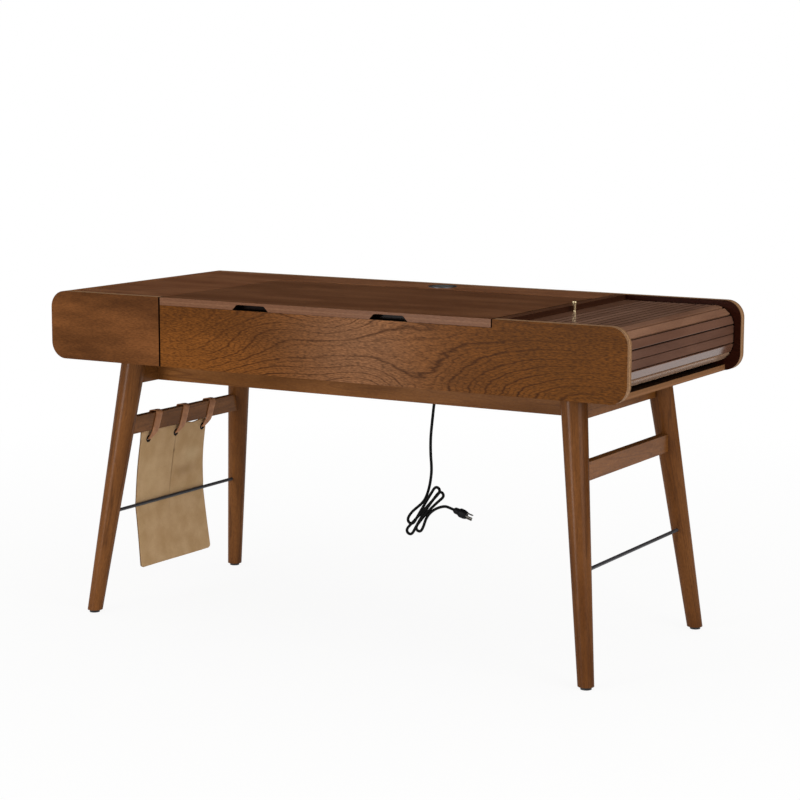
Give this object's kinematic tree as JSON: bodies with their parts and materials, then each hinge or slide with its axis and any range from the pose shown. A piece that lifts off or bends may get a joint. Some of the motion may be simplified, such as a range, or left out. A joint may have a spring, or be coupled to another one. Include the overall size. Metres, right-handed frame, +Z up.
{
  "type": "tambour desk",
  "caption": "Wooden desk with a lift-up lid, an end drawer, a sliding tambour compartment, splayed round legs and a hanging leather sling.",
  "frame": {"origin": "on the floor under the middle of the case", "axes": "+X to the sitter's right along the front, +Y to the back, +Z up"},
  "size_m": [1.47, 0.63, 0.7735],
  "materials": {
    "case_walnut": "satin lacquer on stained walnut veneer",
    "slat_walnut": "satin lacquer",
    "frame_walnut": "satin lacquer on solid wood",
    "inner_ply": "matt plywood",
    "brass": "polished",
    "socket_metal": "satin",
    "black_plastic": "fine texture",
    "cord_rubber": "semi-matt",
    "black_metal": "semi-matt powder coat",
    "suede": "napped suede",
    "strap_leather": "smooth vegetable tan",
    "zinc_steel": "zinc plated"
  },
  "bodies": {
    "case": {"back_panel": "case_walnut", "back_rail": "frame_walnut", "bottom_board": "inner_ply", "cord_bush": "black_plastic", "cord_hank": "cord_rubber", "cord_lead": "cord_rubber", "cord_relief": "black_plastic", "cord_tail": "cord_rubber", "divider_left": "case_walnut", "divider_right": "case_walnut", "foot_rods": "black_metal", "front_panel": "case_walnut", "front_rail": "frame_walnut", "left_end_shell": "case_walnut", "leg_back_left": "frame_walnut", "leg_back_right": "frame_walnut", "leg_front_left": "frame_walnut", "leg_front_right": "frame_walnut", "leg_glides": "black_plastic", "lid_bushes": "brass", "plug": "cord_rubber", "power_bezel": "socket_metal", "power_housing": "black_plastic", "rear_partition": "inner_ply", "side_rail_left": "frame_walnut", "side_rail_right": "frame_walnut", "slide_outer_rails": "zinc_steel", "sling": "suede", "sling_straps": "strap_leather", "stretcher_left": "frame_walnut", "stretcher_right": "frame_walnut", "tambour_liner": "inner_ply", "top_left": "case_walnut", "top_rear": "case_walnut"},
    "lid": {"lid": "case_walnut", "lid_pins": "zinc_steel"},
    "drawer": {"drawer_back": "inner_ply", "drawer_bottom": "inner_ply", "drawer_box_front": "inner_ply", "drawer_front": "case_walnut", "drawer_side_left": "inner_ply", "drawer_side_right": "inner_ply", "slide_inner_rails": "zinc_steel"},
    "tambour_lead": {"lead_rail": "case_walnut", "tambour_knob": "brass"},
    "tambour_slat_01": {"tambour_slat_01": "slat_walnut"},
    "tambour_slat_02": {"tambour_slat_02": "slat_walnut"},
    "tambour_slat_03": {"tambour_slat_03": "slat_walnut"},
    "tambour_slats_04_05": {"tambour_slats_04_05": "slat_walnut"},
    "tambour_slat_06": {"tambour_slat_06": "slat_walnut"},
    "tambour_slat_07": {"tambour_slat_07": "slat_walnut"},
    "tambour_slat_08": {"tambour_slat_08": "slat_walnut"},
    "tambour_slat_09": {"tambour_slat_09": "slat_walnut"},
    "tambour_slat_10": {"tambour_slat_10": "slat_walnut"},
    "tambour_slat_11": {"tambour_slat_11": "slat_walnut"},
    "tambour_slat_12": {"tambour_slat_12": "slat_walnut"},
    "tambour_slats_13_14": {"tambour_slats_13_14": "slat_walnut"},
    "tambour_slat_15": {"tambour_slat_15": "slat_walnut"},
    "tambour_slat_16": {"tambour_slat_16": "slat_walnut"},
    "tambour_slat_17": {"tambour_slat_17": "slat_walnut"}
  },
  "joints": [
    {"name": "lid_hinge", "type": "hinge", "parent": "case", "child": "lid", "pos_m": [0, 0.171, 0.755], "axis": [-1, 0, 0], "range_deg": [0, 85]},
    {"name": "drawer_slide", "type": "slide", "parent": "case", "child": "drawer", "axis": [0, -1, 0], "range_m": [0, 0.34]},
    {"name": "tambour_slide", "type": "slide", "parent": "case", "child": "tambour_lead", "axis": [1, 0, 0], "range_m": [0, 0.18]},
    {"name": "slat_01_turn", "type": "hinge", "parent": "case", "child": "tambour_slat_01", "pos_m": [0.58735, 0, -0.08048], "axis": [0, 1, 0], "range_deg": [0, 12.46], "deforming": ["tambour_slat_01"]},
    {"name": "slat_02_turn", "type": "hinge", "parent": "case", "child": "tambour_slat_02", "pos_m": [0.59735, 0, 0.50225], "axis": [0, 1, 0], "range_deg": [0, 41.11], "deforming": ["tambour_slat_02"]},
    {"name": "slat_03_turn", "type": "hinge", "parent": "case", "child": "tambour_slat_03", "pos_m": [0.60735, 0, 0.60982], "axis": [0, 1, 0], "range_deg": [0, 69.76], "deforming": ["tambour_slat_03"]},
    {"name": "slats_04_05_turn", "type": "hinge", "parent": "case", "child": "tambour_slats_04_05", "pos_m": [0.61442, 0, 0.64542], "axis": [0, 1, 0], "range_deg": [0, 90], "deforming": ["tambour_slats_04_05"]},
    {"name": "slat_06_turn", "type": "hinge", "parent": "case", "child": "tambour_slat_06", "pos_m": [0.62477, 0, 0.66062], "axis": [0, 1, 0], "range_deg": [0, 107], "deforming": ["tambour_slat_06"]},
    {"name": "slat_07_turn", "type": "hinge", "parent": "case", "child": "tambour_slat_07", "pos_m": [0.64042, 0, 0.67654], "axis": [0, 1, 0], "range_deg": [0, 135.65], "deforming": ["tambour_slat_07"]},
    {"name": "slat_08_turn", "type": "hinge", "parent": "case", "child": "tambour_slat_08", "pos_m": [0.65501, 0, 0.68484], "axis": [0, 1, 0], "range_deg": [0, 164.3], "deforming": ["tambour_slat_08"]},
    {"name": "slat_09_turn", "type": "hinge", "parent": "case", "child": "tambour_slat_09", "pos_m": [0.66283, 0, 0.687], "axis": [0, 1, 0], "range_deg": [0, 180], "deforming": ["tambour_slat_09"]},
    {"name": "slat_10_turn", "type": "hinge", "parent": "case", "child": "tambour_slat_10", "pos_m": [0.65663, 0, 0.68859], "axis": [0, 1, 0], "range_deg": [0, 167.54], "deforming": ["tambour_slat_10"]},
    {"name": "slat_11_turn", "type": "hinge", "parent": "case", "child": "tambour_slat_11", "pos_m": [0.64211, 0, 0.69619], "axis": [0, 1, 0], "range_deg": [0, 138.89], "deforming": ["tambour_slat_11"]},
    {"name": "slat_12_turn", "type": "hinge", "parent": "case", "child": "tambour_slat_12", "pos_m": [0.62663, 0, 0.71106], "axis": [0, 1, 0], "range_deg": [0, 110.24], "deforming": ["tambour_slat_12"]},
    {"name": "slats_13_14_turn", "type": "hinge", "parent": "case", "child": "tambour_slats_13_14", "pos_m": [0.61442, 0, 0.72858], "axis": [0, 1, 0], "range_deg": [0, 90], "deforming": ["tambour_slats_13_14"]},
    {"name": "slat_15_turn", "type": "hinge", "parent": "case", "child": "tambour_slat_15", "pos_m": [0.60848, 0, 0.75719], "axis": [0, 1, 0], "range_deg": [0, 73], "deforming": ["tambour_slat_15"]},
    {"name": "slat_16_turn", "type": "hinge", "parent": "case", "child": "tambour_slat_16", "pos_m": [0.59848, 0, 0.85282], "axis": [0, 1, 0], "range_deg": [0, 44.35], "deforming": ["tambour_slat_16"]},
    {"name": "slat_17_turn", "type": "hinge", "parent": "case", "child": "tambour_slat_17", "pos_m": [0.58848, 0, 1.28285], "axis": [0, 1, 0], "range_deg": [0, 15.71], "deforming": ["tambour_slat_17"]}
  ],
  "couplings": [
    {"joint": "slat_01_turn", "follows": "tambour_slide", "rad_per_m": 1.2083},
    {"joint": "slat_02_turn", "follows": "tambour_slide", "rad_per_m": 3.9861},
    {"joint": "slat_03_turn", "follows": "tambour_slide", "rad_per_m": 6.7639},
    {"joint": "slats_04_05_turn", "follows": "tambour_slide", "rad_per_m": 8.7266},
    {"joint": "slat_06_turn", "follows": "tambour_slide", "rad_per_m": 10.375},
    {"joint": "slat_07_turn", "follows": "tambour_slide", "rad_per_m": 13.153},
    {"joint": "slat_08_turn", "follows": "tambour_slide", "rad_per_m": 15.931},
    {"joint": "slat_09_turn", "follows": "tambour_slide", "rad_per_m": 17.453},
    {"joint": "slat_10_turn", "follows": "tambour_slide", "rad_per_m": 16.245},
    {"joint": "slat_11_turn", "follows": "tambour_slide", "rad_per_m": 13.467},
    {"joint": "slat_12_turn", "follows": "tambour_slide", "rad_per_m": 10.689},
    {"joint": "slats_13_14_turn", "follows": "tambour_slide", "rad_per_m": 8.7266},
    {"joint": "slat_15_turn", "follows": "tambour_slide", "rad_per_m": 7.0783},
    {"joint": "slat_16_turn", "follows": "tambour_slide", "rad_per_m": 4.3005},
    {"joint": "slat_17_turn", "follows": "tambour_slide", "rad_per_m": 1.5227}
  ]
}
